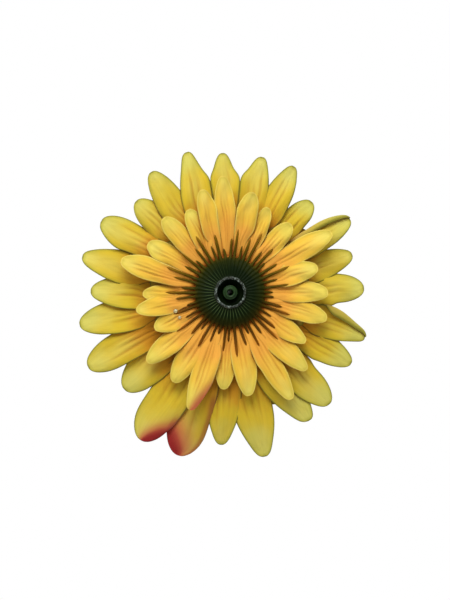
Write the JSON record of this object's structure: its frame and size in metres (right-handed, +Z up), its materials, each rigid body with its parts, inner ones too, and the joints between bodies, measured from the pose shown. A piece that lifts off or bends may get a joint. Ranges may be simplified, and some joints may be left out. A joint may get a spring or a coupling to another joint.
{
  "type": "flower hair clip",
  "caption": "Artificial daisy with stacked yellow fabric petal sheets and a dark green bristled centre, on a felt-backed alligator clip with a sprung toothed jaw.",
  "frame": {"origin": "where the flower's axis meets the rear face of the peg's flange", "axes": "-Y out of the flower's face, +Z up as worn, +X to the right seen from the front and along the clip towards its thumb tails"},
  "size_m": [0.1038, 0.0228, 0.1111],
  "materials": {
    "petal_back": "matt woven polyester, brown-orange",
    "petal_outer": "matt woven polyester, warm yellow",
    "petal_middle": "matt woven polyester, orange",
    "petal_inner": "matt woven polyester, golden yellow",
    "spacer": "moulded, green",
    "boss": "moulded, dark olive green, satin",
    "clear_glue": "clear dried glue",
    "peg": "moulded, mid green",
    "hot_glue": "milky hot glue",
    "felt": "felt, dark green",
    "clip_steel": "nickel plated",
    "pin_steel": "nickel plated",
    "spring_steel": "drawn spring wire"
  },
  "bodies": {
    "flower": {"petal_sheet_back": "petal_back", "petal_sheet_outer": "petal_outer", "petal_sheet_middle": "petal_middle", "petal_sheet_inner": "petal_inner", "sheet_spacer": "spacer", "stamen_boss": "boss", "glue_drops": "clear_glue", "calyx_peg": "peg", "head_glue": "hot_glue", "felt_pad": "felt", "clip_glue": "hot_glue", "clip_base_jaw": "clip_steel", "hinge_pin": "pin_steel", "torsion_spring": "spring_steel"},
    "lever": {"clip_lever_jaw": "clip_steel"}
  },
  "joints": [
    {"name": "jaw_hinge", "type": "hinge", "parent": "flower", "child": "lever", "pos_m": [0.015, 0.0059, 0], "axis": [0, 0, -1], "range_deg": [0, 28], "stiffness_Nm_per_rad": 0.08, "springref_deg": -34.38, "deforming": ["torsion_spring"]}
  ]
}
